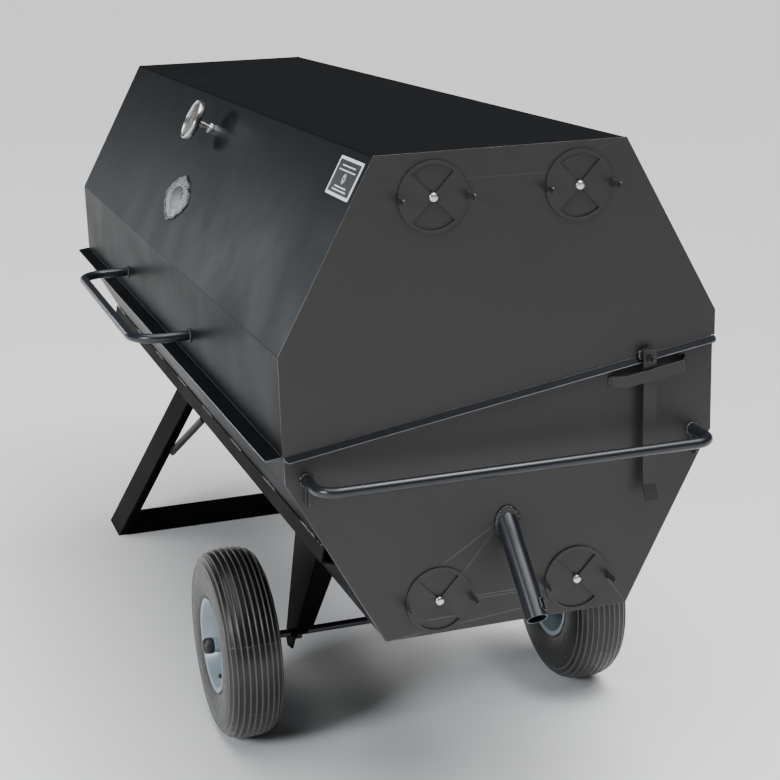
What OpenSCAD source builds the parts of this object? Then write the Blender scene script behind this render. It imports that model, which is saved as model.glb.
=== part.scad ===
// Large charcoal roaster: folded steel tub, hinged lid, barrow wheels at one end,
// splayed feet at the other. Millimetres, +Z up, long axis X, lid hinge on the +Y side,
// wheels, vents and drain at +X. The ground is z = 0.

/* [Tub and lid] */
// Length of the lid over its end plates
lid_length = 2060; // [1400:10:2600]
// Width of the lid over its side walls
lid_width = 800; // [600:5:1000]
// Thickness of the folded sheet
sheet = 3; // [2:0.5:5]
// Height of the lid's flat top
top_z = 1252; // [1000:1:1500]
// Width of the lid's flat top
top_width = 450; // [300:5:600]
// Height of the fold between the lid's wall and its slope
lid_fold_z = 936; // [900:1:1000]
// Height of the seam at the front wall
seam_front_z = 766; // [740:1:840]
// Height of the seam at the hinge wall
seam_rear_z = 891; // [780:1:900]
// Height of the fold between the tub's wall and its slope
tub_fold_z = 716; // [650:1:760]
// Height of the tub's flat floor
floor_z = 405; // [350:1:500]
// Width of the tub's flat floor
floor_width = 460; // [300:5:600]
// How far the tub stands inside the lid all round
tub_inset = 3; // [2:0.5:6]
// Gap under the seam before the tub's top edge
seam_gap = 3; // [2:0.5:6]
// Outward reach of the drip flange along the lid's front
flange_out = 30; // [5:0.5:40]
// Drop of the drip flange along the lid's front
flange_drop = 4; // [2:0.5:25]
// Outward reach of the drip flange at the lid's ends
end_out = 12; // [5:0.5:30]
// Drop of the drip flange at the lid's ends
end_drop = 10; // [2:0.5:25]

/* [Dampers] */
// Radius of a damper disc
damper_r = 61; // [40:0.5:80]
// Distance of a damper from the middle of the end plate
damper_y = 131; // [90:1:160]
// Height of the lid dampers
damper_lid_z = 1178; // [1100:1:1190]
// Height of the tub dampers
damper_tub_z = 468; // [468:1:560]
// Length of a damper's finger tab
tab_out = 36; // [10:1:45]
// Width of a damper's finger tab
tab_width = 17; // [10:1:30]
// Sideways shift of the lid's pair of dampers
damper_shift = 5; // [-20:1:20]

/* [Wheels] */
// Outside radius of the tyre
tyre_r = 195.5; // [150:0.5:250]
// Half the width of the tyre
tyre_half = 59.5; // [40:0.5:70]
// Distance of the axle from the middle of the tub
axle_x = 460; // [350:5:600]
// Distance of each wheel's middle from the middle of the tub
wheel_y = 373; // [340:1:420]
// Radius of the axle
axle_r = 8; // [6:0.5:12]
// Running clearance of the wheel on the axle
run_gap = 0.05; // [0.02:0.01:0.1]

/* [Legs and feet] */
// Thickness of the legs' sheet
leg_sheet = 4; // [3:0.5:6]
// Width of a foot leg's front face
foot_face = 131; // [50:1:160]
// Width of a foot leg's return face
foot_return = 25; // [20:1:50]
// Depth of the crossbar's top face
bar_depth = 76; // [50:1:100]
// Height of the crossbar between the feet
crossbar_z = 40; // [30:1:60]
// Diameter of the foot braces
brace_d = 19; // [8:1:25]
// Leg width of the side rail's angle section
rail_leg = 30; // [20:1:50]
// Height of the side rail's middle on the slope
rail_z = 579; // [500:1:650]
// Slit left between the rail's upper toe and the tub
rail_gap = 1.6; // [0:0.1:4]

/* [Handles] */
// Height of the lid handle
lid_handle_z = 816; // [800:1:860]
// Length of the lid handle between its arms
lid_handle_span = 710; // [400:5:1200]
// Distance of the lid handle's middle from the middle of the lid
lid_handle_x = -35; // [-100:1:100]
// Reach of the lid handle from the wall
lid_handle_out = 115; // [80:1:150]
// Diameter of the lid handle's tube
lid_handle_d = 20; // [16:1:30]
// Height of the end handles
end_handle_z = 720; // [680:1:740]
// Length of an end handle between its arms
end_handle_span = 720; // [400:5:760]
// Reach of an end handle's bar from the middle of the tub
end_handle_x = 1110; // [1080:1:1150]
// Diameter of the end handles' bar
end_handle_d = 19; // [16:1:30]

/* [Drain] */
// Outside diameter of the drain pipe
drain_d = 38; // [25:1:60]
// Height of the drain hole's middle
drain_z = 592; // [500:1:650]
// Length of the drain pipe along its slope
drain_len = 184; // [100:1:250]

/* [Lid stop] */
// Sideways place of the stop strap's pivot
stop_y = 265; // [200:1:320]
// Height of the stop strap's pivot
stop_z = 865; // [840:1:880]
// Distance from the pivot to the strap's fold
stop_len = 231; // [150:1:260]
// Width of the strap
stop_width = 25; // [15:1:35]
// Middle of the bridge below the seam
bridge_drop = 33; // [30:1:45]
// Height of the bridge's bar
bridge_h = 21; // [15:1:30]

/* [Thermometer and plates] */
// Place of the thermometer up the lid's front slope
therm_s = 290; // [200:1:320]
// Radius of the thermometer's case
therm_r = 45; // [30:1:60]
// Place of the badge up the lid's front slope
badge_s = 122; // [80:1:200]
// Width of the badge
badge_w = 215; // [80:1:260]
// Height of the badge
badge_h = 110; // [60:1:150]

/* [Hidden] */
hx = lid_length / 2;
hy = lid_width / 2;
tx = hx - tub_inset;
ty = hy - tub_inset;
fy = floor_width / 2;
ly = top_width / 2;
seam_slope = (seam_rear_z - seam_front_z) / lid_width;
seam_deg = atan(seam_slope);
seam_len = lid_width / cos(seam_deg);
axle_z = tyre_r;
hinge_y = hy + 8;
hinge_z = seam_rear_z;
pin_r = 4;
knuckle_r = 7;
hinge_xs = [-760, 0, 760];
slope_deg = atan2(top_z - lid_fold_z, hy - ly);
wall_deg = atan2(tub_fold_z - floor_z, ty - fy);
pipe_r = drain_d / 2;
drain_in = pipe_r - 2.5;
cap_out = 72;
mouth_x = tx + drain_len * cos(45) + pipe_r * sin(45);
mid_x = (mouth_x - end_handle_x - end_handle_d / 2) / 2;
mid_y = (wheel_y + cap_out - hy - lid_handle_out - lid_handle_d / 2) / 2;
strap_x = hx + 14;
bridge_x = hx + 25;
black = [0.045, 0.045, 0.05];
steel = [0.72, 0.73, 0.75];
rubber = [0.03, 0.03, 0.03];
$fn = 48;

// Height of the slanted seam at a sideways place.
function seam(y) = seam_front_z + (y + hy) * seam_slope;

// Sideways place of the tub's sloping wall at a height.
function wall_y(z) = fy + (z - floor_z) * (ty - fy) / (tub_fold_z - floor_z);

// Unit vector.
function unit(v) = v / norm(v);

// Points of an arc.
function arc(cx, cy, r, a0, a1, n) =
  [for (i = [0:n]) [cx + r * cos(a0 + (a1 - a0) * i / n), cy + r * sin(a0 + (a1 - a0) * i / n)]];

// Outline of a rectangle with rounded corners, centred.
function round_rect(w, h, r) = concat(
  arc(w / 2 - r, h / 2 - r, r, 0, 90, 5), arc(-w / 2 + r, h / 2 - r, r, 90, 180, 5),
  arc(-w / 2 + r, -h / 2 + r, r, 180, 270, 5), arc(w / 2 - r, -h / 2 + r, r, 270, 360, 5));

// Moves the whole roaster so that the origin is under the middle of its bounding box.
module placed() {
  translate([-mid_x, -mid_y, 0])
    children();
}

// Extrudes a (y, z) outline along X.
module along_x(x0, x1) {
  translate([x0, 0, 0])
    rotate([90, 0, 90])
      linear_extrude(x1 - x0)
        children();
}

// Copies a shape to the other side of the long middle plane.
module rear_side() {
  mirror([0, 1, 0])
    children();
}

// Flat plate: outline in (along u, towards v), thickness t; negative t goes the other way.
module plate(o, du, dv, pts, t) {
  u = unit(du);
  n = unit(cross(u, dv));
  v = cross(n, u);
  multmatrix([[u.x, v.x, n.x, o.x], [u.y, v.y, n.y, o.y], [u.z, v.z, n.z, o.z], [0, 0, 0, 1]])
    translate([0, 0, min(t, 0)])
      linear_extrude(abs(t))
        polygon(pts);
}

// Round rod between two points.
module rod(a, b, r) {
  d = b - a;
  translate(a)
    rotate([0, acos(d.z / norm(d)), atan2(d.y, d.x)])
      cylinder(r = r, h = norm(d));
}

// U-shaped bar: arms rise from the local floor, the bar runs along local X.
module u_bar(span, out, bend, r) {
  for (s = [-1, 1])
    translate([s * span / 2, 0, 0])
      cylinder(r = r, h = out - bend, $fn = 24);
  translate([span / 2 - bend, 0, out - bend])
    rotate([90, 0, 0])
      rotate_extrude(angle = 90, $fn = 24)
        translate([bend, 0])
          circle(r = r);
  translate([-span / 2 + bend, 0, out - bend])
    rotate([90, 0, 0])
      rotate([0, 0, 90])
        rotate_extrude(angle = 90, $fn = 24)
          translate([bend, 0])
            circle(r = r);
  translate([-span / 2 + bend, 0, out])
    rotate([0, 90, 0])
      cylinder(r = r, h = span - 2 * bend, $fn = 24);
}

// Outer outline of the tub, with its seam edge.
module tub_outline() {
  polygon([[-ty, seam(-ty) - seam_gap], [-ty, tub_fold_z], [-fy, floor_z], [fy, floor_z],
    [ty, tub_fold_z], [ty, seam(ty) - seam_gap]]);
}

// Inner outline of the tub, running out past the seam.
module tub_hollow() {
  k = sheet / sin(wall_deg);
  m = sheet * tan((90 - wall_deg) / 2);
  f = sheet * tan(wall_deg / 2);
  polygon([[-ty + sheet, 1400], [-ty + sheet, tub_fold_z + m], [-fy + f, floor_z + sheet],
    [fy - f, floor_z + sheet], [ty - sheet, tub_fold_z + m], [ty - sheet, 1400]]);
}

// Outer outline of the lid.
module lid_outline() {
  polygon([[-hy, seam(-hy)], [-hy, lid_fold_z], [-ly, top_z], [ly, top_z], [hy, lid_fold_z],
    [hy, seam(hy)]]);
}

// Inner outline of the lid, running out past the seam.
module lid_hollow() {
  m = sheet * tan((90 - slope_deg) / 2);
  f = sheet * tan(slope_deg / 2);
  polygon([[-hy + sheet, 100], [-hy + sheet, lid_fold_z - m], [-ly + f, top_z - sheet],
    [ly - f, top_z - sheet], [hy - sheet, lid_fold_z - m], [hy - sheet, 100]]);
}

// Two opposite quarter-circle openings, to be cut through an end plate.
module vent_holes(y, z) {
  translate([hx - 20, y, z])
    rotate([90, 0, 90])
      intersection() {
        difference() {
          cylinder(r = 53, h = 40);
          translate([0, 0, -1])
            cylinder(r = 10, h = 42);
        }
        union() {
          linear_extrude(40)
            polygon([[2, 0], [80, 72], [80, -72]]);
          linear_extrude(40)
            polygon([[-2, 0], [-80, -72], [-80, 72]]);
        }
      }
  translate([hx - 20, y, z])
    rotate([90, 0, 90])
      cylinder(r = 4.5, h = 40, $fn = 24);
}

// Damper disc: two open quarters, a rim, and a finger tab at each side.
module damper(y, z, x0) {
  translate([x0 + 0.5, y, z])
    rotate([90, 0, 90])
      difference() {
        cylinder(r = damper_r, h = 3, $fn = 72);
        translate([0, 0, -1])
          cylinder(r = 4 + run_gap, h = 5, $fn = 24);
        intersection() {
          difference() {
            translate([0, 0, -1])
              cylinder(r = damper_r - 6.5, h = 5, $fn = 72);
            translate([0, 0, -2])
              cylinder(r = 9, h = 7);
          }
          union() {
            translate([0, 0, -1])
              linear_extrude(5)
                polygon([[0, 2], [76, 80], [-76, 80]]);
            translate([0, 0, -1])
              linear_extrude(5)
                polygon([[0, -2], [-76, -80], [76, -80]]);
          }
        }
      }
  for (s = [-1, 1])
    translate([x0 + 0.5, y + s * (damper_r - 1.7), z])
      rotate([90, 0, s * 4])
        translate([0, 0, -1.5])
          linear_extrude(3)
            polygon(concat([[0, tab_width / 2], [0, -tab_width / 2], [5, -tab_width / 2 + 0.5],
              [14, -4.6], [24, -4.6]], arc(tab_out - 6, -0.6, 6, -60, 60, 6),
              [[24, 4.2], [14, 4.2], [5, tab_width / 2 - 0.5]]));
}

// Damper pivot bolt with a domed head outside and a nut inside.
module damper_bolt(y, z, x0) {
  translate([x0, y, z])
    rotate([90, 0, 90]) {
      translate([0, 0, -16])
        cylinder(r = 4, h = 22, $fn = 24);
      translate([0, 0, 4])
        rotate_extrude($fn = 32)
          polygon([[0, 0], [8, 0], [8, 2], [7, 4], [4.5, 5.6], [0, 6.2]]);
      translate([0, 0, -12])
        cylinder(r = 7.5, h = 6, $fn = 6);
    }
}

// Wheel axle frame: local Z points outboard.
module at_wheel(side) {
  translate([axle_x, side * wheel_y, axle_z])
    rotate([-90 * side, 0, 0])
      children();
}

// Folded tub skin: front wall, slopes, floor and rear wall in one sheet.
module tub_wrap() {
  color(black)
    placed()
      along_x(-tx + sheet, tx - sheet)
        difference() {
          tub_outline();
          tub_hollow();
        }
}

// Near end of the tub with its vents and drain hole.
module tub_end_near() {
  color(black)
    placed()
      difference() {
        along_x(tx - sheet, tx)
          tub_outline();
        vent_holes(-damper_y, damper_tub_z);
        vent_holes(damper_y, damper_tub_z);
        translate([tx, 0, drain_z])
          rotate([0, 135, 0])
            translate([0, 0, -60])
              cylinder(r = drain_in, h = 120);
      }
}

// Plain far end of the tub.
module tub_end_far() {
  color(black)
    placed()
      along_x(-tx, -tx + sheet)
        tub_outline();
}

// Angle section on the tub's front slope: its lower toe touches, its upper toe leaves a slit.
module side_rail() {
  c = rail_leg * cos(45);
  w = [-cos(wall_deg), sin(wall_deg)];
  n = [-sin(wall_deg), -cos(wall_deg)];
  p = [-wall_y(rail_z), rail_z];
  along_x(-tx, tx)
    polygon([p + c * w + rail_gap * n, p + c * n, p - c * w, p - (c - 4.6) * w,
      p + (c - 4.6) * n, p + (c - 4.6) * w + rail_gap * n]);
}

// Side rail at the front.
module side_rail_front() {
  color(black)
    placed()
      side_rail();
}

// Tapered folded leg that carries one end of the axle.
module wheel_leg() {
  top = [608.7, -234.5, 415];
  low = [481.5, -254.8, 195];
  tilt = atan(20.3 / 220);
  h = norm(low - top);
  difference() {
    union() {
      translate([0, top.y, top.z])
        rotate([90 - tilt, 0, 0])
          translate([0, 0, -leg_sheet])
            linear_extrude(leg_sheet)
              polygon([[452, 0], [608.7, 0], [490, -206], [475, -234], [463, -255],
                [432, -260], [417, -246], [419, -226]]);
      plate(top, low - top, [0, 1, 0],
        [[0, 0], [0, 50], [h * 0.88, 36], [h * 0.98, 24], [h * 0.98, 0]], -leg_sheet);
    }
    translate([axle_x, -200, axle_z])
      rotate([90, 0, 0])
        cylinder(r = axle_r + 0.3, h = 100);
    along_x(300, 800)
      tub_outline();
  }
}

// Wheel leg at the front.
module wheel_leg_front() {
  color(black)
    placed()
      wheel_leg();
}

// Wheel leg at the hinge side.
module wheel_leg_rear() {
  color(black)
    placed()
      rear_side()
        wheel_leg();
}

// Splayed folded leg with its end cut level with the ground.
module foot_leg() {
  top = [-600.5, -224.5, 434];
  low = [-791, -415, 0];
  d = low - top;
  h = norm(d);
  difference() {
    union() {
      plate(top, d, [-1, 0, 0], [[0, 0], [0, foot_face - 5], [h + 90, foot_face - 5], [h + 90, 0]],
        leg_sheet);
      plate(top, d, [0, 1, 0], [[0, 0], [0, foot_return], [h + 90, foot_return], [h + 90, 0]],
        -leg_sheet);
    }
    translate([-1100, -700, -300])
      cube([900, 900, 300]);
    along_x(-900, -300)
      tub_outline();
  }
}

// Foot leg at the front.
module foot_leg_front() {
  color(black)
    placed()
      foot_leg();
}

// Foot leg at the hinge side.
module foot_leg_rear() {
  color(black)
    placed()
      rear_side()
        foot_leg();
}

// Folded bar between the feet, trimmed to the lean of the legs.
module foot_crossbar() {
  top = [-600.5, -224.5, 434];
  low = [-791, -415, 0];
  d = low - top;
  color(black)
    placed()
      difference() {
        union() {
          translate([-791, -392, 0])
            cube([leg_sheet, 784, crossbar_z]);
          translate([-791 - bar_depth, -412, crossbar_z - leg_sheet])
            cube([bar_depth, 824, leg_sheet]);
        }
        for (m = [0, 1])
          mirror([0, m, 0])
            plate(top, d, [-1, 0, 0], [[300, -60], [300, 200], [700, 200], [700, -60]], -60);
        for (m = [0, 1])
          mirror([0, m, 0])
            plate(top, d, [-1, 0, 0], [[300, -60], [300, 200], [700, 200], [700, -60]],
              leg_sheet);
        for (m = [0, 1])
          mirror([0, m, 0])
            plate(top, d, [0, 1, 0], [[300, -10], [300, foot_return], [700, foot_return],
              [700, -10]], -leg_sheet);
        for (s = [-1, 1])
          translate([-831, s * 355, 20])
            cylinder(r = 5.5, h = 40, $fn = 24);
      }
}

// Round brace from the face of the foot leg's return to the floor's edge.
module brace() {
  top = [-600.5, -224.5, 434];
  d = [-791, -415, 0] - top;
  difference() {
    rod([-703, -272, 244], [-440, -229, 410], brace_d / 2);
    along_x(-800, -300)
      tub_outline();
    plate(top, d, [0, 1, 0], [[0, -60], [0, 120], [500, 120], [500, -60]], -60);
  }
}

// Brace at the front.
module brace_front() {
  color(black)
    placed()
      brace();
}

// Brace at the hinge side.
module brace_rear() {
  color(black)
    placed()
      rear_side()
        brace();
}

// Fixed axle through both wheel legs.
module axle() {
  color(steel)
    placed()
      translate([axle_x, wheel_y + cap_out - 7, axle_z])
        rotate([90, 0, 0])
          cylinder(r = axle_r, h = 2 * (wheel_y + cap_out - 7));
}

// Collars that hold the axle in the legs and the wheels on the axle.
module axle_collars() {
  color(steel)
    placed()
      for (s = [-1, 1], y = [236, wheel_y - 61])
        translate([axle_x, s * y, axle_z])
          rotate([-90 * s, 0, 0])
            difference() {
              cylinder(r = 15, h = 11);
              translate([0, 0, -1])
                cylinder(r = axle_r, h = 13);
            }
}

// Domed caps on the axle ends.
module axle_caps() {
  color(rubber)
    placed()
      for (s = [-1, 1])
        at_wheel(s)
          translate([0, 0, cap_out - 22])
            rotate_extrude()
              polygon([[axle_r, 0], [16.5, 0], [16.5, 10], [15.6, 14], [13, 18], [9, 20.6],
                [4, 21.8], [0, 22], [0, 15], [axle_r, 15]]);
}

// Bar handle across the near end.
module end_handle_near() {
  color(black)
    placed()
      translate([tx, 0, end_handle_z])
        rotate([90, 0, 90])
          u_bar(end_handle_span, end_handle_x - tx, 35, end_handle_d / 2);
}

// Bar handle across the far end.
module end_handle_far() {
  color(black)
    placed()
      mirror([1, 0, 0])
        translate([tx, 0, end_handle_z])
          rotate([90, 0, 90])
            u_bar(end_handle_span, end_handle_x - tx, 35, end_handle_d / 2);
}

// Small gussets under the arms of both end handles.
module handle_gussets() {
  color(black)
    placed()
      for (e = [0, 1], s = [-1, 1])
        mirror([e, 0, 0])
          translate([tx, s * end_handle_span / 2 + 2, end_handle_z - end_handle_d / 2])
            rotate([90, 0, 0])
              linear_extrude(4)
                polygon([[0, 0], [20, 0], [20, -26], [17, -32], [11, -35], [0, -35]]);
}

// Sloping drain pipe, open at its lower end.
module drain_pipe() {
  color(black)
    placed()
      difference() {
        translate([tx, 0, drain_z])
          rotate([0, 135, 0])
            difference() {
              translate([0, 0, -40])
                cylinder(r = pipe_r, h = drain_len + 40);
              translate([0, 0, -41])
                cylinder(r = drain_in, h = drain_len + 82);
            }
        translate([tx - 100, -50, drain_z - 100])
          cube([100, 100, 200]);
      }
}

// Weld collar where the drain pipe meets the end plate.
module drain_collar() {
  color(black)
    placed()
      intersection() {
        translate([tx, 0, drain_z])
          rotate([0, 135, 0])
            difference() {
              translate([0, 0, -40])
                cylinder(r = pipe_r + 4, h = 80);
              translate([0, 0, -41])
                cylinder(r = pipe_r, h = 82);
            }
        translate([tx, -50, drain_z - 60])
          cube([6, 100, 120]);
      }
}

// Oval wire eye near the drain pipe's mouth for hanging a bucket.
module bucket_eye() {
  color(black)
    placed()
      translate([tx, 0, drain_z])
        rotate([0, 135, 0])
          rotate([0, 0, 148])
            translate([pipe_r + 1.6, 0, drain_len - 20])
              rotate([0, 90, 0])
                union() {
                  for (s = [-1, 1])
                    translate([-6, s * 5.2, 0])
                      rotate([0, 90, 0])
                        cylinder(r = 2.1, h = 12, $fn = 16);
                  for (a = [0, 180])
                    rotate([0, 0, a])
                      translate([6, 0, 0])
                        rotate([0, 0, -90])
                          rotate_extrude(angle = 180, $fn = 24)
                            translate([5.2, 0])
                              circle(r = 2.1, $fn = 16);
                }
}

// Bridge on the tub's end plate that guides the lid stop strap.
module stop_bridge() {
  color(black)
    placed()
      translate([0, 0, seam(0) - bridge_drop])
        rotate([seam_deg, 0, 0])
          translate([0, 0, -bridge_h / 2])
            linear_extrude(bridge_h)
              polygon([[tx, 197], [bridge_x - 6, 213], [bridge_x, 219], [bridge_x, 331],
                [bridge_x - 6, 337], [tx, 349], [tx, 345.5], [bridge_x - 7.5, 334],
                [bridge_x - 3, 329.5], [bridge_x - 3, 220.5], [bridge_x - 7.5, 216], [tx, 201]]);
}

// Fixed hinge leaves with one knuckle each.
module hinge_leaves_tub() {
  color(black)
    placed()
      for (x = hinge_xs)
        difference() {
          union() {
            along_x(x - 20, x + 20)
              polygon([[ty, 846], [ty + 3, 846], [ty + 3, 880], [413, 886.5], [405, 889], [ty, 886]]);
            translate([x - 20, hinge_y, hinge_z])
              rotate([0, 90, 0])
                cylinder(r = knuckle_r, h = 40, $fn = 32);
          }
          translate([x - 30, hinge_y, hinge_z])
            rotate([0, 90, 0])
              cylinder(r = pin_r + run_gap, h = 60, $fn = 32);
        }
}

// Hinge pins.
module hinge_pins() {
  color(steel)
    placed()
      for (x = hinge_xs)
        translate([x - 60, hinge_y, hinge_z])
          rotate([0, 90, 0])
            cylinder(r = pin_r, h = 120, $fn = 32);
}

// Ledges inside the tub that carry the grate.
module grate_ledges() {
  color(black)
    placed()
      for (s = [0, 1])
        mirror([0, s, 0])
          along_x(-1000, 1000)
            polygon([[-ty + sheet, 722], [-ty + sheet + 30, 722], [-ty + sheet + 30, 725],
              [-ty + sheet + 3, 725], [-ty + sheet + 3, 745], [-ty + sheet, 745]]);
}

// Pivot bolts of the tub's dampers.
module damper_bolts_tub() {
  color(steel)
    placed()
      for (s = [-1, 1])
        damper_bolt(s * damper_y, damper_tub_z, tx);
}

// Folded lid skin: front wall, slopes, top and rear wall in one sheet.
module lid_wrap() {
  color(black)
    placed()
      along_x(-hx + sheet, hx - sheet)
        difference() {
          lid_outline();
          lid_hollow();
        }
}

// Near end of the lid with its vents.
module lid_end_near() {
  color(black)
    placed()
      difference() {
        along_x(hx - sheet, hx)
          lid_outline();
        vent_holes(damper_shift - damper_y, damper_lid_z);
        vent_holes(damper_shift + damper_y, damper_lid_z);
      }
}

// Plain far end of the lid.
module lid_end_far() {
  color(black)
    placed()
      along_x(-hx, -hx + sheet)
        lid_outline();
}

// Flared drip flange along the lid's front edge.
module lid_flange_front() {
  d = norm([flange_out, flange_drop]);
  color(black)
    placed()
      translate([0, -hy, seam_front_z])
        rotate([90 - atan(flange_out / flange_drop), 0, 0])
          translate([0, 0, -sheet])
            linear_extrude(sheet)
              polygon(concat([[hx - 1, 0]], arc(hx - 10, -d + 9, 9, 0, -90, 5),
                arc(-hx + 10, -d + 9, 9, 270, 180, 5), [[-hx + 1, 0]]));
}

// Flared drip flange along an end of the lid, following the slant of the seam.
module end_flange() {
  d = norm([end_out, end_drop]);
  translate([hx, -hy, seam_front_z])
    rotate([seam_deg, 0, 0])
      rotate([0, -atan(end_out / end_drop), 0])
        rotate([90, 0, 90])
          translate([0, 0, -sheet])
            linear_extrude(sheet)
              polygon(concat([[1, 0]], arc(10, -d + 9, 9, 180, 270, 5),
                arc(seam_len - 10, -d + 9, 9, 270, 360, 5), [[seam_len - 1, 0]]));
}

// Near end flange.
module lid_flange_near() {
  color(black)
    placed()
      end_flange();
}

// Far end flange.
module lid_flange_far() {
  color(black)
    placed()
      mirror([1, 0, 0])
        end_flange();
}

// Long tube handle on the lid's front wall.
module lid_handle() {
  color(black)
    placed()
      translate([lid_handle_x, -hy, lid_handle_z])
        rotate([90, 0, 0])
          u_bar(lid_handle_span, lid_handle_out, 60, lid_handle_d / 2);
}

// Moving hinge leaves with two knuckles each.
module hinge_leaves_lid() {
  color(black)
    placed()
      for (x = hinge_xs, s = [-1, 1])
        difference() {
          union() {
            along_x(x + s * 40 - 19, x + s * 40 + 19)
              polygon([[hy, 896], [hy, 930], [hy + 3, 930], [hy + 3, 904], [413, 896], [405, 893]]);
            translate([x + s * 40 - 19, hinge_y, hinge_z])
              rotate([0, 90, 0])
                cylinder(r = knuckle_r, h = 38, $fn = 32);
          }
          translate([x + s * 40 - 30, hinge_y, hinge_z])
            rotate([0, 90, 0])
              cylinder(r = pin_r + run_gap, h = 60, $fn = 32);
        }
}

// Local frame on the lid's front slope: X along the lid, Y up the slope, Z outward.
module on_slope(x, s) {
  translate([0, -hy, lid_fold_z])
    rotate([slope_deg, 0, 0])
      translate([x, s, 0])
        children();
}

// Thermometer stem standing off the slope.
module therm_stem() {
  color(steel)
    placed()
      on_slope(-3, therm_s)
        translate([0, 0, 8])
          cylinder(r = 6, h = 30, $fn = 24);
}

// Hexagon nut that holds the thermometer.
module therm_nut() {
  color(steel)
    placed()
      on_slope(-3, therm_s)
        cylinder(r = 13, h = 8, $fn = 6);
}

// Round thermometer case with a raised bezel.
module therm_case() {
  color(steel)
    placed()
      on_slope(-3, therm_s)
        translate([0, 0, 38])
          rotate_extrude($fn = 64)
            polygon([[0, 0], [therm_r - 4, 0], [therm_r - 1, 1.5], [therm_r, 4], [therm_r, 13],
              [therm_r - 1.5, 15], [therm_r - 4, 15], [therm_r - 5, 12], [therm_r - 5, 5], [0, 5]]);
}

// Printed dial disc.
module therm_dial() {
  color([0.9, 0.9, 0.88])
    placed()
      on_slope(-3, therm_s)
        translate([0, 0, 43])
          cylinder(r = therm_r - 5, h = 1);
}

// Needle with its centre boss.
module therm_needle() {
  color([0.7, 0.05, 0.04])
    placed()
      on_slope(-3, therm_s)
        translate([0, 0, 45])
          rotate([0, 0, 130])
            union() {
              cylinder(r = 4, h = 2, $fn = 24);
              linear_extrude(1)
                polygon([[-8, -1.6], [-8, 1.6], [32, 0.5], [32, -0.5]]);
            }
}

// Clear lens over the dial.
module therm_lens() {
  color([0.8, 0.9, 0.95, 0.4])
    placed()
      on_slope(-3, therm_s)
        translate([0, 0, 49.5])
          cylinder(r = therm_r - 5, h = 1.5);
}

// Plain badge with a raised border.
module badge() {
  color(steel)
    placed()
      on_slope(-23, badge_s)
        difference() {
          linear_extrude(4)
            polygon(round_rect(badge_w, badge_h, 16));
          translate([0, 0, 2.5])
            linear_extrude(4)
              polygon(round_rect(badge_w - 12, badge_h - 12, 10));
        }
}

// Small plain information plate near the lid's top edge.
module rating_plate() {
  color(steel)
    placed()
      on_slope(948, 310)
        linear_extrude(1)
          polygon(round_rect(125, 69, 3));
}

// Lug welded to the end flange to carry the stop strap.
module stop_lug() {
  k = (stop_y + hy) / cos(seam_deg);
  color(black)
    placed()
      difference() {
        translate([hx, -hy, seam_front_z])
          rotate([seam_deg, 0, 0])
            translate([0, k + 12, 0])
              rotate([90, 0, 0])
                linear_extrude(24)
                  polygon([[0, 0], [end_out, -end_drop], [13.2, -end_drop], [13.2, 14], [9.5, 14], [9.5, 3],
                    [0, 3]]);
        translate([hx + 5, stop_y, stop_z])
          rotate([0, 90, 0])
            cylinder(r = pin_r, h = 20, $fn = 24);
      }
}

// Pivot bolt of the stop strap with its nut.
module stop_bolt() {
  color(steel)
    placed()
      translate([hx + 11.3, stop_y, stop_z])
        rotate([0, 90, 0])
          union() {
            cylinder(r = pin_r, h = 22.7, $fn = 24);
            translate([0, 0, 6.2])
              cylinder(r = 7.5, h = 6.5, $fn = 6);
          }
}

// Pivot bolts of the lid's dampers.
module damper_bolts_lid() {
  color(steel)
    placed()
      for (s = [-1, 1])
        damper_bolt(damper_shift + s * damper_y, damper_lid_z, hx);
}

// Flat strap with an outward fold at its lower end.
module stop_strap() {
  color(steel)
    placed()
      difference() {
        translate([0, stop_y + stop_width / 2, stop_z])
          rotate([90, 0, 0])
            linear_extrude(stop_width)
              polygon([[strap_x, 17], [strap_x, -stop_len - 1], [strap_x + 17, -stop_len - 28],
                [strap_x + 19.6, -stop_len - 26.4], [strap_x + 3, -stop_len], [strap_x + 3, 17]]);
        translate([strap_x - 5, stop_y, stop_z])
          rotate([0, 90, 0])
            cylinder(r = pin_r + run_gap, h = 20, $fn = 24);
      }
}

// Front damper of the lid.
module damper_lid_front() {
  color(black)
    placed()
      damper(damper_shift - damper_y, damper_lid_z, hx);
}

// Rear damper of the lid.
module damper_lid_rear() {
  color(black)
    placed()
      damper(damper_shift + damper_y, damper_lid_z, hx);
}

// Front damper of the tub.
module damper_tub_front() {
  color(black)
    placed()
      damper(-damper_y, damper_tub_z, tx);
}

// Rear damper of the tub.
module damper_tub_rear() {
  color(black)
    placed()
      damper(damper_y, damper_tub_z, tx);
}

// Pneumatic tyre as a hollow ring, open towards the rim.
module tyre() {
  k = tyre_half / 59.5;
  rotate_extrude($fn = 72)
    polygon([[98.5, 50.6 * k], [112, 56.5 * k], [140, tyre_half], [166, 57 * k], [183, 50 * k],
      [191, 39 * k], [194.6, 22 * k], [tyre_r, 0], [194.6, -22 * k], [191, -39 * k],
      [183, -50 * k], [166, -57 * k], [140, -tyre_half], [112, -56.5 * k], [98.5, -50.6 * k],
      [90.8, -47.2], [88.4, -43], [104, -44 * k], [140, -52 * k], [174, -44 * k],
      [187, -22 * k], [188, 0], [187, 22 * k], [174, 44 * k], [140, 52 * k], [104, 44 * k],
      [88.4, 43], [90.8, 47.2]]);
}

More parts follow.
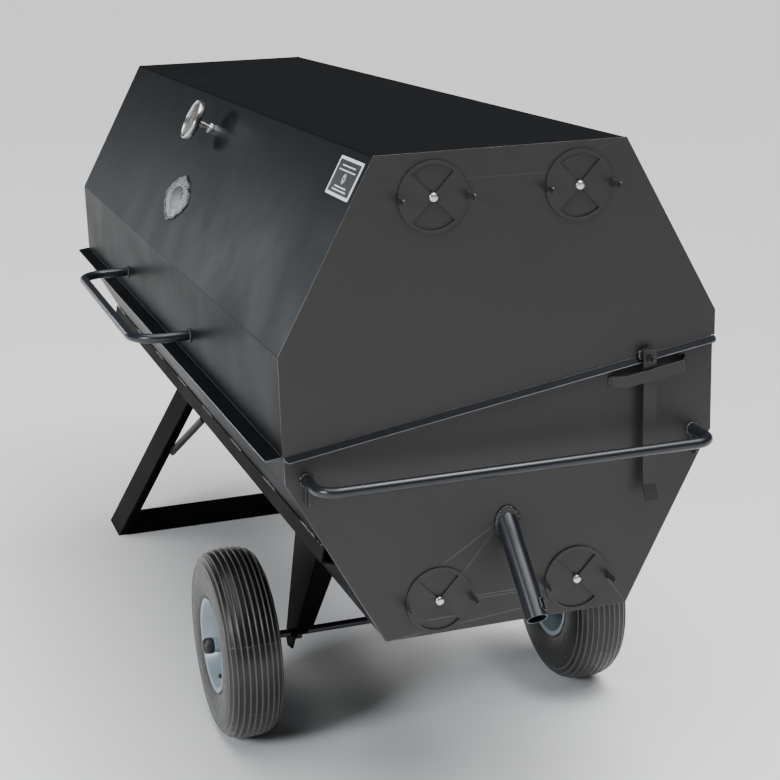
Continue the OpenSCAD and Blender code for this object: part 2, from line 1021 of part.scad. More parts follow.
// Pressed rim with a drop centre, a dished disc and a hub tube.
module rim() {
  rotate_extrude($fn = 64) {
    polygon([[97, 50], [90, 48], [86, 42], [74, 22], [74, -22], [86, -42], [90, -48], [97, -50],
      [97, -53], [88, -51], [83, -43], [71, -23.5], [71, 23.5], [83, 43], [88, 51], [97, 53]]);
    polygon([[72.5, -10], [72.5, -6], [56, 4], [40, 4], [26, -8], [14, -8], [14, -12], [28, -12],
      [42, 0], [54, 0]]);
    polygon([[axle_r + run_gap, -48], [16, -48], [16, 48], [axle_r + run_gap, 48]]);
  }
}

// Rubber valve stem.
module valve() {
  rotate([0, 0, -52])
    translate([74.5, 0, 28])
      rotate([0, -25, 0])
        cylinder(r = 4.2, h = 24, $fn = 20);
}

// Front tyre.
module tyre_front() {
  color(rubber)
    placed()
      at_wheel(-1)
        tyre();
}

// Front rim.
module rim_front() {
  color(steel)
    placed()
      at_wheel(-1)
        rim();
}

// Front valve.
module valve_front() {
  color(rubber)
    placed()
      at_wheel(-1)
        valve();
}

// Rear tyre.
module tyre_rear() {
  color(rubber)
    placed()
      at_wheel(1)
        tyre();
}

// Rear rim.
module rim_rear() {
  color(steel)
    placed()
      at_wheel(1)
        rim();
}

// Rear valve.
module valve_rear() {
  color(rubber)
    placed()
      at_wheel(1)
        valve();
}

// Lift-out grate: long bars with cross bars on top.
module cooking_grate() {
  color(steel)
    placed()
      union() {
        for (y = [-380, -195, 0, 195, 380])
          translate([-1010, y - 4, 725.6])
            cube([2020, 8, 8]);
        for (i = [-10:10])
          translate([i * 100 - 3, -386, 733.8])
            cube([6, 772, 6]);
      }
}

tub_wrap();
tub_end_near();
tub_end_far();
side_rail_front();
wheel_leg_front();
wheel_leg_rear();
foot_leg_front();
foot_leg_rear();
foot_crossbar();
brace_front();
brace_rear();
axle();
axle_collars();
axle_caps();
end_handle_near();
end_handle_far();
handle_gussets();
drain_pipe();
drain_collar();
bucket_eye();
stop_bridge();
hinge_leaves_tub();
hinge_pins();
grate_ledges();
damper_bolts_tub();
lid_wrap();
lid_end_near();
lid_end_far();
lid_flange_front();
lid_flange_near();
lid_flange_far();
lid_handle();
hinge_leaves_lid();
therm_stem();
therm_nut();
therm_case();
therm_dial();
therm_needle();
therm_lens();
badge();
rating_plate();
stop_lug();
stop_bolt();
damper_bolts_lid();
stop_strap();
damper_lid_front();
damper_lid_rear();
damper_tub_front();
damper_tub_rear();
tyre_front();
rim_front();
valve_front();
tyre_rear();
rim_rear();
valve_rear();
cooking_grate();
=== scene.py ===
# %% [markdown]
# # A long steel charcoal roaster
#
# The roaster is a folded steel tub with a hinged lid. It stands on two barrow wheels
# at one end and on two splayed feet at the other.
#
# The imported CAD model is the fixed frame. It gives every part its size and place.
# This lesson adds what the eye looks for: rounded folds, ribbed tyres, weld beads,
# a printed dial and real finishes.

# %% Load the frame
import math

import bmesh
import bpy
import numpy as np
from mathutils import Matrix


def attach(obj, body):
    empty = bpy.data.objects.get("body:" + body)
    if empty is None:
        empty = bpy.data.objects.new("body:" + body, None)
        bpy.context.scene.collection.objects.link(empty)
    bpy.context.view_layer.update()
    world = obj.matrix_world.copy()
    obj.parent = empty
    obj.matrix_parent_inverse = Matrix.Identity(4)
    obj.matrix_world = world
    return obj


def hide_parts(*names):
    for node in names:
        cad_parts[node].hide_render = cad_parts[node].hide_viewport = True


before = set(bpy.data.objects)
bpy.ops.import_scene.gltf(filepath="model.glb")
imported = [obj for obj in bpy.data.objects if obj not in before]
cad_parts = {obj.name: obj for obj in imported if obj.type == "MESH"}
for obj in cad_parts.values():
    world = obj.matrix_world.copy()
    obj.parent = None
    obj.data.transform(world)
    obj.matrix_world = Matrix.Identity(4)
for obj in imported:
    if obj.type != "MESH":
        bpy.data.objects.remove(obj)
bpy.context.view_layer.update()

# %% [markdown]
# ## The driving sizes
#
# Every size is in metres. The CAD model has its origin on the ground under the middle
# of its bounding box, so the middle of the tub is a little off the origin. `TUB` is that
# middle. All the places below are measured from it, as a maker would.

# %% Driving sizes
TUB = np.array([-0.025521, 0.040, 0.0])
SHEET = 0.003
LID_X, LID_Y = 1.030, 0.400
TUB_X, TUB_Y = 1.027, 0.397
SEAM_FRONT, SEAM_REAR = 0.766, 0.891
SEAM_ANGLE = math.atan2(SEAM_REAR - SEAM_FRONT, 2 * LID_Y)
LID_FOLD_Z, TOP_Z, TOP_Y = 0.936, 1.252, 0.225
TUB_FOLD_Z, FLOOR_Z, FLOOR_Y = 0.716, 0.405, 0.230
AXLE_X, AXLE_Z, WHEEL_Y = 0.460, 0.1955, 0.373


def seam_z(y):
    """Height of the slanted seam: a straight line from the front wall to the hinge wall."""
    return SEAM_FRONT + (y + LID_Y) * (SEAM_REAR - SEAM_FRONT) / (2 * LID_Y)


print("seam slope in degrees:", round(math.degrees(SEAM_ANGLE), 2))

# %% [markdown]
# ## Turning arrays into meshes
#
# Each new piece is a grid of points worked out with numpy. `from_grid` joins the points
# into quads. A grid can close on itself one way, like a tube, or both ways, like a ring.
# A `fan` end closes a tube with a disc. `slab` joins two facing grids into one closed sheet.


# %% Grids to meshes
def add_piece(name, points, faces, smooth_angle=35.0):
    """Makes an object of points and faces, placed from the middle of the tub."""
    mesh = bpy.data.meshes.new(name)
    mesh.from_pydata((np.asarray(points) + TUB).tolist(), [], faces)
    mesh.validate()
    work = bmesh.new()
    work.from_mesh(mesh)
    bmesh.ops.remove_doubles(work, verts=work.verts, dist=1e-6)
    bmesh.ops.recalc_face_normals(work, faces=work.faces)
    work.to_mesh(mesh)
    work.free()
    mesh.shade_smooth()
    mesh.set_sharp_from_angle(angle=math.radians(smooth_angle))
    piece = bpy.data.objects.new(name, mesh)
    bpy.context.collection.objects.link(piece)
    return piece


def grid_faces(rows, cols, wrap_rows=False, wrap_cols=False, start=0):
    """Quads of a grid: each joins a point to its neighbours in the next row and column."""
    r = np.arange(rows if wrap_rows else rows - 1)
    c = np.arange(cols if wrap_cols else cols - 1)
    r, c = np.meshgrid(r, c, indexing="ij")
    r2, c2 = (r + 1) % rows, (c + 1) % cols
    quads = np.stack([r * cols + c, r2 * cols + c, r2 * cols + c2, r * cols + c2], axis=-1)
    return (quads.reshape(-1, 4) + start).tolist()


def from_grid(name, grid, wrap_rows=False, wrap_cols=False, ends=False, smooth_angle=35.0):
    """Makes a piece of a grid of points; ends closes the first and last row with a face."""
    rows, cols = grid.shape[:2]
    faces = grid_faces(rows, cols, wrap_rows, wrap_cols)
    if ends:
        faces.append(list(range(cols)))
        faces.append(list(range((rows - 1) * cols, rows * cols)))
    return add_piece(name, grid.reshape(-1, 3), faces, smooth_angle)


def slab(name, outer, inner, smooth_angle=35.0):
    """Closed sheet between two facing grids: both grids, and a strip along each border."""
    rows, cols = outer.shape[:2]
    count = rows * cols
    index = np.arange(count).reshape(rows, cols)
    border = np.concatenate([index[0, :-1], index[:-1, -1], index[-1, :0:-1], index[:0:-1, 0]])
    after = np.roll(border, -1)
    faces = grid_faces(rows, cols) + grid_faces(rows, cols, start=count)
    faces += np.stack([border, after, after + count, border + count], axis=-1).tolist()
    points = np.concatenate([outer.reshape(-1, 3), inner.reshape(-1, 3)])
    return add_piece(name, points, faces, smooth_angle)


def put(piece, body, finish, *nodes, slot=None):
    """Gives a piece its finish and the body it rides on, and hides the CAD nodes it stands for."""
    piece.data.materials.clear()
    piece.data.materials.append(finish)
    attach(piece, body)
    if nodes:
        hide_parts(*nodes)
    return piece


# %% [markdown]
# ## Finishes
#
# A finish is a small node tree around the Principled shader. `finish` sets the values that
# are the same everywhere on the shader itself. `noise`, `ramp` and `bump` add what varies:
# patches of gloss, fine grain and tiny lumps. They read Object coordinates, so the grain has
# the same size on every piece.


# %% Finish helpers
def finish(name, colour, metallic=0.0, roughness=0.5, coat=0.0, coat_roughness=0.1, level=0.5):
    """New material with a Principled shader; returns the material, its tree and the shader."""
    mat = bpy.data.materials.new(name)
    mat.use_nodes = True
    tree = mat.node_tree
    shader = tree.nodes["Principled BSDF"]
    shader.inputs["Base Color"].default_value = (*colour, 1.0)
    shader.inputs["Metallic"].default_value = metallic
    shader.inputs["Roughness"].default_value = roughness
    shader.inputs["Coat Weight"].default_value = coat
    shader.inputs["Coat Roughness"].default_value = coat_roughness
    shader.inputs["Specular IOR Level"].default_value = level
    return mat, tree, shader


def noise(tree, scale, detail=3.0, stretch=(1, 1, 1), rough=0.5):
    """Cloudy pattern with lumps 1/scale metres wide, stretched along the axes."""
    coords = tree.nodes.new("ShaderNodeTexCoord")
    mapping = tree.nodes.new("ShaderNodeMapping")
    mapping.inputs["Scale"].default_value = stretch
    tex = tree.nodes.new("ShaderNodeTexNoise")
    tex.inputs["Scale"].default_value = scale
    tex.inputs["Detail"].default_value = detail
    tex.inputs["Roughness"].default_value = rough
    tree.links.new(coords.outputs["Object"], mapping.inputs["Vector"])
    tree.links.new(mapping.outputs["Vector"], tex.inputs["Vector"])
    return tex.outputs["Fac"]


def ramp(tree, value, low, high, from_low=0.3, from_high=0.7):
    """Stretches a pattern between two limits onto a new range of values."""
    node = tree.nodes.new("ShaderNodeMapRange")
    node.inputs["From Min"].default_value = from_low
    node.inputs["From Max"].default_value = from_high
    node.inputs["To Min"].default_value = low
    node.inputs["To Max"].default_value = high
    tree.links.new(value, node.inputs["Value"])
    return node.outputs["Result"]


def mix(tree, value, first, second):
    """Blends two colours by a pattern."""
    node = tree.nodes.new("ShaderNodeMix")
    node.data_type = "RGBA"
    node.inputs["A"].default_value = (*first, 1.0)
    node.inputs["B"].default_value = (*second, 1.0)
    tree.links.new(value, node.inputs["Factor"])
    return node.outputs["Result"]


def bump(tree, shader, height, distance, strength=1.0, under=None):
    """Lets a pattern raise the surface by up to the distance, in metres."""
    node = tree.nodes.new("ShaderNodeBump")
    node.inputs["Distance"].default_value = distance
    node.inputs["Strength"].default_value = strength
    tree.links.new(height, node.inputs["Height"])
    if under is not None:
        tree.links.new(under, node.inputs["Normal"])
    tree.links.new(node.outputs["Normal"], shader.inputs["Normal"])
    return node.outputs["Normal"]


def attribute(tree, name):
    """Reads a value stored on the mesh's points."""
    node = tree.nodes.new("ShaderNodeAttribute")
    node.attribute_name = name
    return node.outputs["Fac"]


# %% [markdown]
# ### Black powder coat
#
# Powder coat is sprayed on as dust and melted. It comes out satin, with a very fine
# orange-peel skin and a slow drift in gloss where it was thicker. Two bumps do this: a fine
# one for the peel and a wide, shallow one for the slight waviness of folded sheet.

# %% Powder coat
def powder_coat(name, colour=(0.0060, 0.0066, 0.0078), roughness=0.36, level=0.03):
    """Satin black coat: drifting gloss, fine peel and slightly wavy sheet."""
    mat, tree, shader = finish(name, colour, roughness=roughness, level=level)
    drift = noise(tree, 6.0, detail=4.0)
    tree.links.new(ramp(tree, drift, roughness - 0.04, roughness + 0.05), shader.inputs["Roughness"])
    tint = noise(tree, 3.0, detail=2.0)
    dark = tuple(c * 0.85 for c in colour)
    light = tuple(c * 1.3 for c in colour)
    tree.links.new(mix(tree, tint, dark, light), shader.inputs["Base Color"])
    wavy = bump(tree, shader, noise(tree, 5.0, detail=1.0), 0.0006, 0.6)
    bump(tree, shader, noise(tree, 700.0, detail=2.0), 0.00004, 0.5, under=wavy)
    return mat


coat = powder_coat("black_powder_coat")
# Painted light: the ends' copy of the same black coat is painted lighter and browner, for the lit end plates
# and the parts on them.
coat_end_painted_lit = powder_coat("black_powder_coat_painted_lighter_on_ends", (0.0190, 0.0174, 0.0164), 0.42, 0.42)
coat_bar = powder_coat("black_powder_coat_on_bar", (0.009, 0.0105, 0.014), 0.27, 0.5)
# Painted shade: the legs' copy of the same coat is painted darker, for the legs, crossbar and grate ledges
# under and inside the tub.
coat_leg_painted_shade = powder_coat("black_powder_coat_painted_darker_on_legs", (0.0035, 0.0035, 0.0038), 0.4, 0.01)
coat_rail = powder_coat("black_powder_coat_on_rail", (0.0085, 0.0075, 0.0055), 0.4, 0.01)
# Painted highlight: the folds' copy is glossier and painted much lighter, so each rounded edge shows a bright
# line.
coat_fold_painted_highlight = powder_coat("black_powder_coat_painted_edge_highlight", (0.050, 0.055, 0.065), 0.2, 0.8)
print("finish:", coat.name)

# %% [markdown]
# ### Weld bead
#
# A bead is painted over with the same coat, but it is lumpy. The lumps are in the mesh, and
# a coarse bump adds spatter.

# %% Weld finish
def weld_coat():
    """Black coat over a weld: glossier, with coarse lumps."""
    mat, tree, shader = finish("painted_weld", (0.014, 0.014, 0.016), roughness=0.28, level=0.6)
    tree.links.new(ramp(tree, noise(tree, 160.0), 0.2, 0.4), shader.inputs["Roughness"])
    bump(tree, shader, noise(tree, 260.0, detail=3.0), 0.0006, 0.7)
    return mat


weld = weld_coat()

# %% [markdown]
# ### Bare metals
#
# Zinc plate is bright and a little cloudy. Stainless is brushed, so its scratches are
# stretched one way. Both are full metals: their colour is the colour of the reflection.

# %% Metals
def zinc():
    """Bright zinc plate: cloudy gloss and fine pits."""
    mat, tree, shader = finish("zinc_plate", (0.62, 0.63, 0.65), metallic=1.0, roughness=0.3)
    cloud = noise(tree, 90.0, detail=5.0)
    tree.links.new(ramp(tree, cloud, 0.2, 0.42), shader.inputs["Roughness"])
    tree.links.new(mix(tree, cloud, (0.5, 0.51, 0.54), (0.74, 0.75, 0.76)), shader.inputs["Base Color"])
    bump(tree, shader, noise(tree, 900.0), 0.00003, 0.5)
    return mat


def brushed(name, colour, roughness, stretch):
    """Brushed metal: grain stretched along one axis in the gloss and in a very fine bump."""
    mat, tree, shader = finish(name, colour, metallic=1.0, roughness=roughness)
    grain = noise(tree, 1.0, detail=4.0, stretch=stretch, rough=0.7)
    tree.links.new(ramp(tree, grain, roughness - 0.08, roughness + 0.12), shader.inputs["Roughness"])
    low = tuple(c * 0.78 for c in colour)
    tree.links.new(mix(tree, grain, low, colour), shader.inputs["Base Color"])
    bump(tree, shader, grain, 0.00003, 0.4)
    return mat


def dark_steel():
    """Heat-darkened grate bar: oily grey with rusty brown patches."""
    mat, tree, shader = finish("grate_steel", (0.2, 0.19, 0.18), metallic=0.9, roughness=0.45)
    patch = noise(tree, 22.0, detail=6.0)
    tree.links.new(mix(tree, patch, (0.3, 0.3, 0.31), (0.12, 0.08, 0.06)), shader.inputs["Base Color"])
    tree.links.new(ramp(tree, patch, 0.35, 0.6), shader.inputs["Roughness"])
    bump(tree, shader, noise(tree, 400.0), 0.00008, 0.6)
    return mat


plated = zinc()
stainless = brushed("stainless", (0.66, 0.66, 0.65), 0.2, (60, 900, 900))
grate_metal = dark_steel()

# %% [markdown]
# ### Rubber and wheel paint
#
# Tyre rubber is a soft, dusty black. Its fine tread ridges and mould lines are painted grey: a
# painted highlight where their tops catch the light. The mesh stores how far each point is up a
# ridge, and the colour follows it. The rims are sprayed with a pale grey-blue paint.

# %% Rubber and paint
def tyre_rubber():
    """Tyre black: ridges painted grey as a highlight, duller on the side wall, with a fine grain."""
    mat, tree, shader = finish("tyre_rubber", (0.006, 0.0055, 0.005), roughness=0.34, level=0.45)
    ridge_and_painted_highlight = attribute(tree, "ridge_and_painted_highlight")
    blend = tree.nodes.new("ShaderNodeMix")
    blend.data_type = "RGBA"
    base = mix(tree, noise(tree, 30.0, detail=5.0), (0.005, 0.0046, 0.0042), (0.008, 0.0074, 0.0068))
    # Painted highlight: grey where the ridges and mould lines rise, for the light their tops catch.
    blend.inputs["B"].default_value = (0.095, 0.090, 0.084, 1.0)
    tree.links.new(ridge_and_painted_highlight, blend.inputs["Factor"])
    tree.links.new(base, blend.inputs["A"])
    tree.links.new(blend.outputs["Result"], shader.inputs["Base Color"])
    tree.links.new(ramp(tree, noise(tree, 70.0, detail=4.0), 0.29, 0.40), shader.inputs["Roughness"])
    bump(tree, shader, noise(tree, 1400.0, detail=2.0), 0.00006, 0.6)
    return mat


def plain_rubber():
    """Moulded rubber of the caps and valves."""
    mat, tree, shader = finish("moulded_rubber", (0.02, 0.02, 0.021), roughness=0.42, level=0.5)
    tree.links.new(ramp(tree, noise(tree, 120.0), 0.34, 0.5), shader.inputs["Roughness"])
    bump(tree, shader, noise(tree, 1500.0), 0.00005, 0.5)
    return mat


def rim_paint():
    """Pale grey-blue sprayed paint with soft runs and a fine peel."""
    mat, tree, shader = finish("rim_paint", (0.20, 0.25, 0.28), roughness=0.34, coat=0.3)
    drift = noise(tree, 18.0, detail=4.0)
    tree.links.new(mix(tree, drift, (0.17, 0.215, 0.245), (0.24, 0.295, 0.33)), shader.inputs["Base Color"])
    tree.links.new(ramp(tree, drift, 0.28, 0.42), shader.inputs["Roughness"])
    bump(tree, shader, noise(tree, 600.0), 0.00005, 0.5)
    return mat


rubber_tyre, rubber_plain, paint_rim = tyre_rubber(), plain_rubber(), rim_paint()

# %% [markdown]
# ## Softening the CAD's plates
#
# Cut and folded plate has no knife edges. For the plain plates, a copy of the CAD mesh is
# merged, its flat areas are joined into big faces, and a Bevel modifier rounds every edge.
# A Weighted Normal modifier then keeps the flats flat in the light.

# %% Soft plates
def softened(node, width=0.0008, segments=2, near_end=None, angle=25.0):
    """Copy of a CAD node with rounded edges; near_end rounds only edges on that X plane."""
    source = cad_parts[node]
    work = bmesh.new()
    work.from_mesh(source.data)
    bmesh.ops.remove_doubles(work, verts=work.verts, dist=2e-6)
    bmesh.ops.dissolve_limit(work, angle_limit=math.radians(0.5), verts=work.verts, edges=work.edges)
    bmesh.ops.recalc_face_normals(work, faces=work.faces)
    mesh = bpy.data.meshes.new(node + "_soft")
    work.to_mesh(mesh)
    work.free()
    piece = bpy.data.objects.new(node + "_soft", mesh)
    bpy.context.collection.objects.link(piece)
    mesh.shade_smooth()
    mesh.set_sharp_from_angle(angle=math.radians(30))
    rounding = piece.modifiers.new("round", "BEVEL")
    rounding.width = width
    rounding.segments = segments
    rounding.harden_normals = False
    if near_end is None:
        rounding.limit_method = "ANGLE"
        rounding.angle_limit = math.radians(angle)
    else:
        co = np.empty(len(mesh.vertices) * 3)
        mesh.vertices.foreach_get("co", co)
        ends = np.empty(len(mesh.edges) * 2, dtype=np.int32)
        mesh.edges.foreach_get("vertices", ends)
        x = co.reshape(-1, 3)[ends.reshape(-1, 2), 0] - TUB[0]
        on_plane = np.all(np.abs(x - near_end) < 1e-4, axis=1)
        weight = mesh.attributes.new("bevel_weight_edge", "FLOAT", "EDGE")
        weight.data.foreach_set("value", on_plane.astype(np.float32))
        rounding.limit_method = "WEIGHT"
    flat = piece.modifiers.new("flat", "WEIGHTED_NORMAL")
    flat.keep_sharp = False
    return piece


# %% [markdown]
# ## Lid and tub skins
#
# Both are one sheet folded on a press brake. A fold has a real radius, about twice the
# sheet's thickness, and that radius is what makes the thin bright line along each edge.
# `folded` gives the outer and inner line of such a sheet. At each corner the outer line is
# an arc around the fold's centre, and the inner line is the same arc, one sheet closer.


# %% Folded sheet
def folded(corners, radius, steps=7):
    """Outer and inner line of a folded sheet. An arc turns the wall's normal n1 into n2:
    point = centre + r * slerp(n1, n2), with centre = corner - r * bisector / cos(half turn)."""
    p = np.asarray(corners, dtype=float)
    way = np.diff(p, axis=0)
    way /= np.linalg.norm(way, axis=1, keepdims=True)
    out = np.stack([-way[:, 1], way[:, 0]], axis=1)
    n1, n2 = out[:-1], out[1:]
    turn = np.arccos(np.clip(np.sum(n1 * n2, axis=1), -1, 1))[:, None, None]
    s = np.linspace(0, 1, steps)[None, :, None]
    normal = (np.sin((1 - s) * turn) * n1[:, None] + np.sin(s * turn) * n2[:, None]) / np.sin(turn)
    middle = n1 + n2
    middle /= np.linalg.norm(middle, axis=1, keepdims=True)
    centre = p[1:-1] - middle * radius / np.cos(turn[:, :, 0] / 2)
    outer = (centre[:, None] + radius * normal).reshape(-1, 2)
    inner = (centre[:, None] + (radius - SHEET) * normal).reshape(-1, 2)
    outer = np.concatenate([p[:1], outer, p[-1:]])
    inner = np.concatenate([p[:1] - SHEET * out[:1], inner, p[-1:] - SHEET * out[-1:]])
    return outer, inner


def skin(name, corners, half_length, radius=0.006):
    """Folded sheet carried straight along X."""
    outer, inner = folded(corners, radius)
    x = np.array([-half_length, half_length])[:, None, None]

    def carry(line):
        return np.concatenate([np.broadcast_to(x, (2, len(line), 1)),
                               np.broadcast_to(line[None], (2, len(line), 2))], axis=2)

    piece = slab(name, carry(outer), carry(inner), smooth_angle=40)
    piece.modifiers.new("flat", "WEIGHTED_NORMAL").keep_sharp = True
    return piece


lid_corners = [(-LID_Y, SEAM_FRONT), (-LID_Y, LID_FOLD_Z), (-TOP_Y, TOP_Z), (TOP_Y, TOP_Z),
               (LID_Y, LID_FOLD_Z), (LID_Y, SEAM_REAR)]
tub_corners = [(TUB_Y, seam_z(TUB_Y) - 0.003), (TUB_Y, TUB_FOLD_Z), (FLOOR_Y, FLOOR_Z),
               (-FLOOR_Y, FLOOR_Z), (-TUB_Y, TUB_FOLD_Z), (-TUB_Y, seam_z(-TUB_Y) - 0.003)]
put(skin("lid_skin", lid_corners, LID_X - SHEET), "lid", coat, "lid_wrap")
put(skin("tub_skin", tub_corners, TUB_X - SHEET), "tub", coat, "tub_wrap")

# %% [markdown]
# The end plates close the skins. Only the edge that faces outwards is rounded, so no groove
# opens where a plate meets its skin.
#
# Powder melts thinner and glossier over an edge, so the rounded edges get a finish of their own. Its much
# lighter colour is a painted highlight along each edge.

# %% End plates and other plates
def edged(piece):
    """Gives the rounded edges of a softened plate the glossier finish, whose lighter colour is a painted
    highlight.
    """
    piece.data.materials.append(coat_fold_painted_highlight)
    piece.modifiers["round"].material = 1
    return piece


edged(put(softened("lid_end_near", 0.0028, 4, near_end=LID_X), "lid", coat_end_painted_lit, "lid_end_near"))
edged(put(softened("lid_end_far", 0.0028, 4, near_end=-LID_X), "lid", coat_end_painted_lit, "lid_end_far"))
edged(put(softened("tub_end_near", 0.0028, 4, near_end=TUB_X), "tub", coat_end_painted_lit, "tub_end_near"))
edged(put(softened("tub_end_far", 0.0028, 4, near_end=-TUB_X), "tub", coat_end_painted_lit, "tub_end_far"))
for node in ("lid_flange_front", "lid_flange_near", "lid_flange_far"):
    edged(put(softened(node, 0.0011), "lid", coat, node))
put(softened("stop_lug", 0.0009), "lid", coat_end_painted_lit, "stop_lug")
for node in ("wheel_leg_front", "wheel_leg_rear", "foot_leg_front", "foot_leg_rear", "foot_crossbar",
             "grate_ledges"):
    edged(put(softened(node, 0.0011), "tub", coat_leg_painted_shade, node))
put(softened("side_rail_front", 0.0011), "tub", coat_rail, "side_rail_front")
for node in ("handle_gussets", "hinge_leaves_tub", "stop_bridge"):
    put(softened(node, 0.0009), "tub", coat_end_painted_lit, node)
put(softened("hinge_leaves_lid", 0.0008), "lid", coat_end_painted_lit, "hinge_leaves_lid")
put(softened("stop_strap", 0.0007), "lid_stop", coat_end_painted_lit, "stop_strap")
put(softened("stop_bolt", 0.0005), "lid", coat_bar, "stop_bolt")
for node in ("damper_lid_front", "damper_lid_rear", "damper_tub_front", "damper_tub_rear"):
    put(softened(node, 0.0006), node, coat_end_painted_lit, node)
for node, body in (("damper_bolts_tub", "tub"), ("damper_bolts_lid", "lid")):
    put(softened(node, 0.0004), body, plated, node)
for node in ("axle", "axle_collars", "hinge_pins"):
    put(softened(node, 0.0006), "tub", coat_bar, node)
put(softened("cooking_grate", 0.0008), "grate", grate_metal, "cooking_grate")

# %% [markdown]
# ## Tubes and bars
#
# A handle is a round bar bent to a U. `tube` carries a circle along a path: at each point
# the circle stands square to the path, on two directions found from the path's own way.


# %% Tubes
def tube(name, path, radius, sides=24, ends=True, up=(0, 0, 1)):
    """Circle carried along a path: point = path + r (cos a * side + sin a * over)."""
    path = np.asarray(path, dtype=float)
    way = np.gradient(path, axis=0)
    way /= np.linalg.norm(way, axis=1, keepdims=True)
    side = np.cross(way, np.asarray(up, dtype=float))
    side /= np.linalg.norm(side, axis=1, keepdims=True)
    over = np.cross(side, way)
    a = np.linspace(0, 2 * np.pi, sides, endpoint=False)[None, :, None]
    r = np.broadcast_to(np.asarray(radius, dtype=float), (len(path),))[:, None, None]
    grid = path[:, None] + r * (np.cos(a) * side[:, None] + np.sin(a) * over[:, None])
    return from_grid(name, grid, wrap_cols=True, ends=ends, smooth_angle=50)


def u_path(span, out, bend, steps=12):
    """Flat U of two arms, two quarter bends and a bar: rows of (along, away from wall)."""
    a = np.linspace(0, np.pi / 2, steps)
    corner = np.stack([bend * np.sin(a), bend * np.cos(a)], axis=1)
    left = np.stack([-span / 2 + bend - corner[::-1, 0], out - bend + corner[::-1, 1]], axis=1)
    right = np.stack([span / 2 - bend + corner[:, 0], out - bend + corner[:, 1]], axis=1)
    return np.concatenate([[[-span / 2, 0]], left, right, [[span / 2, 0]]])


u = u_path(0.710, 0.115, 0.060)
lid_path = np.stack([u[:, 0] - 0.035, -LID_Y - u[:, 1], np.full(len(u), 0.816)], axis=1)
put(tube("lid_handle_bar", lid_path, 0.010), "lid", coat_bar, "lid_handle")
u = u_path(0.720, 0.083, 0.035)
for name, sign in (("end_handle_near", 1), ("end_handle_far", -1)):
    path = np.stack([sign * (TUB_X + u[:, 1]), u[:, 0], np.full(len(u), 0.720)], axis=1)
    put(tube(name + "_bar", path, 0.0095), "tub", coat_bar, name)
print("handle bars:", 3)

# %% [markdown]
# The drain is a thin tube cut off square, so its wall shows at the mouth. The drain and its
# bucket eye are softened copies of the CAD parts; `turned`, defined here, serves the parts below.


# %% Drain
def turned(name, profile, origin, axis, sides=64, start=(0, 1, 0), smooth_angle=35.0, closed=True):
    """Profile of (radius, height) rows turned around an axis: p = o + h*axis + r(cos a s + sin a t)."""
    axis = np.asarray(axis, dtype=float)
    axis = axis / np.linalg.norm(axis)
    s = np.cross(axis, np.asarray(start, dtype=float))
    s /= np.linalg.norm(s)
    t = np.cross(axis, s)
    profile = np.asarray(profile, dtype=float)
    a = np.linspace(0, 2 * np.pi, sides, endpoint=False)[None, :, None]
    ring = np.cos(a) * s + np.sin(a) * t
    grid = np.asarray(origin) + profile[:, 1][:, None, None] * axis + profile[:, 0][:, None, None] * ring
    return from_grid(name, grid, wrap_rows=closed, wrap_cols=True, smooth_angle=smooth_angle)


DRAIN_ROOT = np.array([TUB_X, 0, 0.592])
put(softened("drain_pipe", 0.0005, angle=50), "tub", coat_bar, "drain_pipe")
put(softened("bucket_eye", 0.0003, angle=60), "tub", coat_bar, "bucket_eye")

# %% [markdown]
# ## Weld beads
#
# A bead is a row of overlapping drops. `bead` carries a rounded section along a path, and
# its radius swells and shrinks with each drop, with a little seeded unevenness.


# %% Beads
rng = np.random.default_rng(7)


def bead(name, path, body, radius=0.003, pitch=0.004, closed=False, up=(0, 0, 1)):
    """Lumpy cord along a path: radius = r (1 + 0.22 |sin(pi s / pitch)| + noise)."""
    path = np.asarray(path, dtype=float)
    step = np.linalg.norm(np.diff(path, axis=0), axis=1)
    s = np.concatenate([[0], np.cumsum(step)])
    fine = np.linspace(0, s[-1], max(int(s[-1] / pitch * 5), 12))
    line = np.stack([np.interp(fine, s, path[:, i]) for i in range(3)], axis=1)
    lumps = np.abs(np.sin(np.pi * fine / pitch))
    r = radius * (0.82 + 0.3 * lumps + 0.08 * rng.standard_normal(len(fine)))
    if not closed:
        r[[0, -1]] *= 0.5
    return put(tube(name, line, r, sides=10, up=up), body, weld, slot="black_powder")


def ring_path(centre, axis, radius, start=(0, 0, 1), count=80):
    """Circle around an axis."""
    axis = np.asarray(axis, dtype=float)
    s = np.cross(axis, np.asarray(start, dtype=float))
    s /= np.linalg.norm(s)
    t = np.cross(axis, s)
    a = np.linspace(0, 2 * np.pi, count)[:, None]
    return np.asarray(centre) + radius * (np.cos(a) * s + np.sin(a) * t)


for x in (-0.390, 0.320):
    bead("weld_lid_handle", ring_path((x, -LID_Y - 0.001, 0.816), (0, -1, 0), 0.0112), "lid", up=(0, 1, 0))
for sign in (-1, 1):
    for y in (-0.360, 0.360):
        bead("weld_end_handle", ring_path((sign * (TUB_X + 0.001), y, 0.720), (1, 0, 0), 0.0105),
             "tub", up=(1, 0, 0))
a = np.linspace(0, 2 * np.pi, 90)[:, None]
oval = DRAIN_ROOT + np.array([0.002, 0, 0]) + 0.0205 * (np.cos(a) * np.array([0, 1, 0])
                                                      + np.sin(a) * np.array([0, 0, 1.414]))
bead("weld_drain", oval, "tub", radius=0.0042, pitch=0.009, up=(1, 0, 0))

# %% [markdown]
# The side rail is stitched: short beads with open slit between them. Each bead lies in the
# slit between the rail's upper toe and the tub's slope.

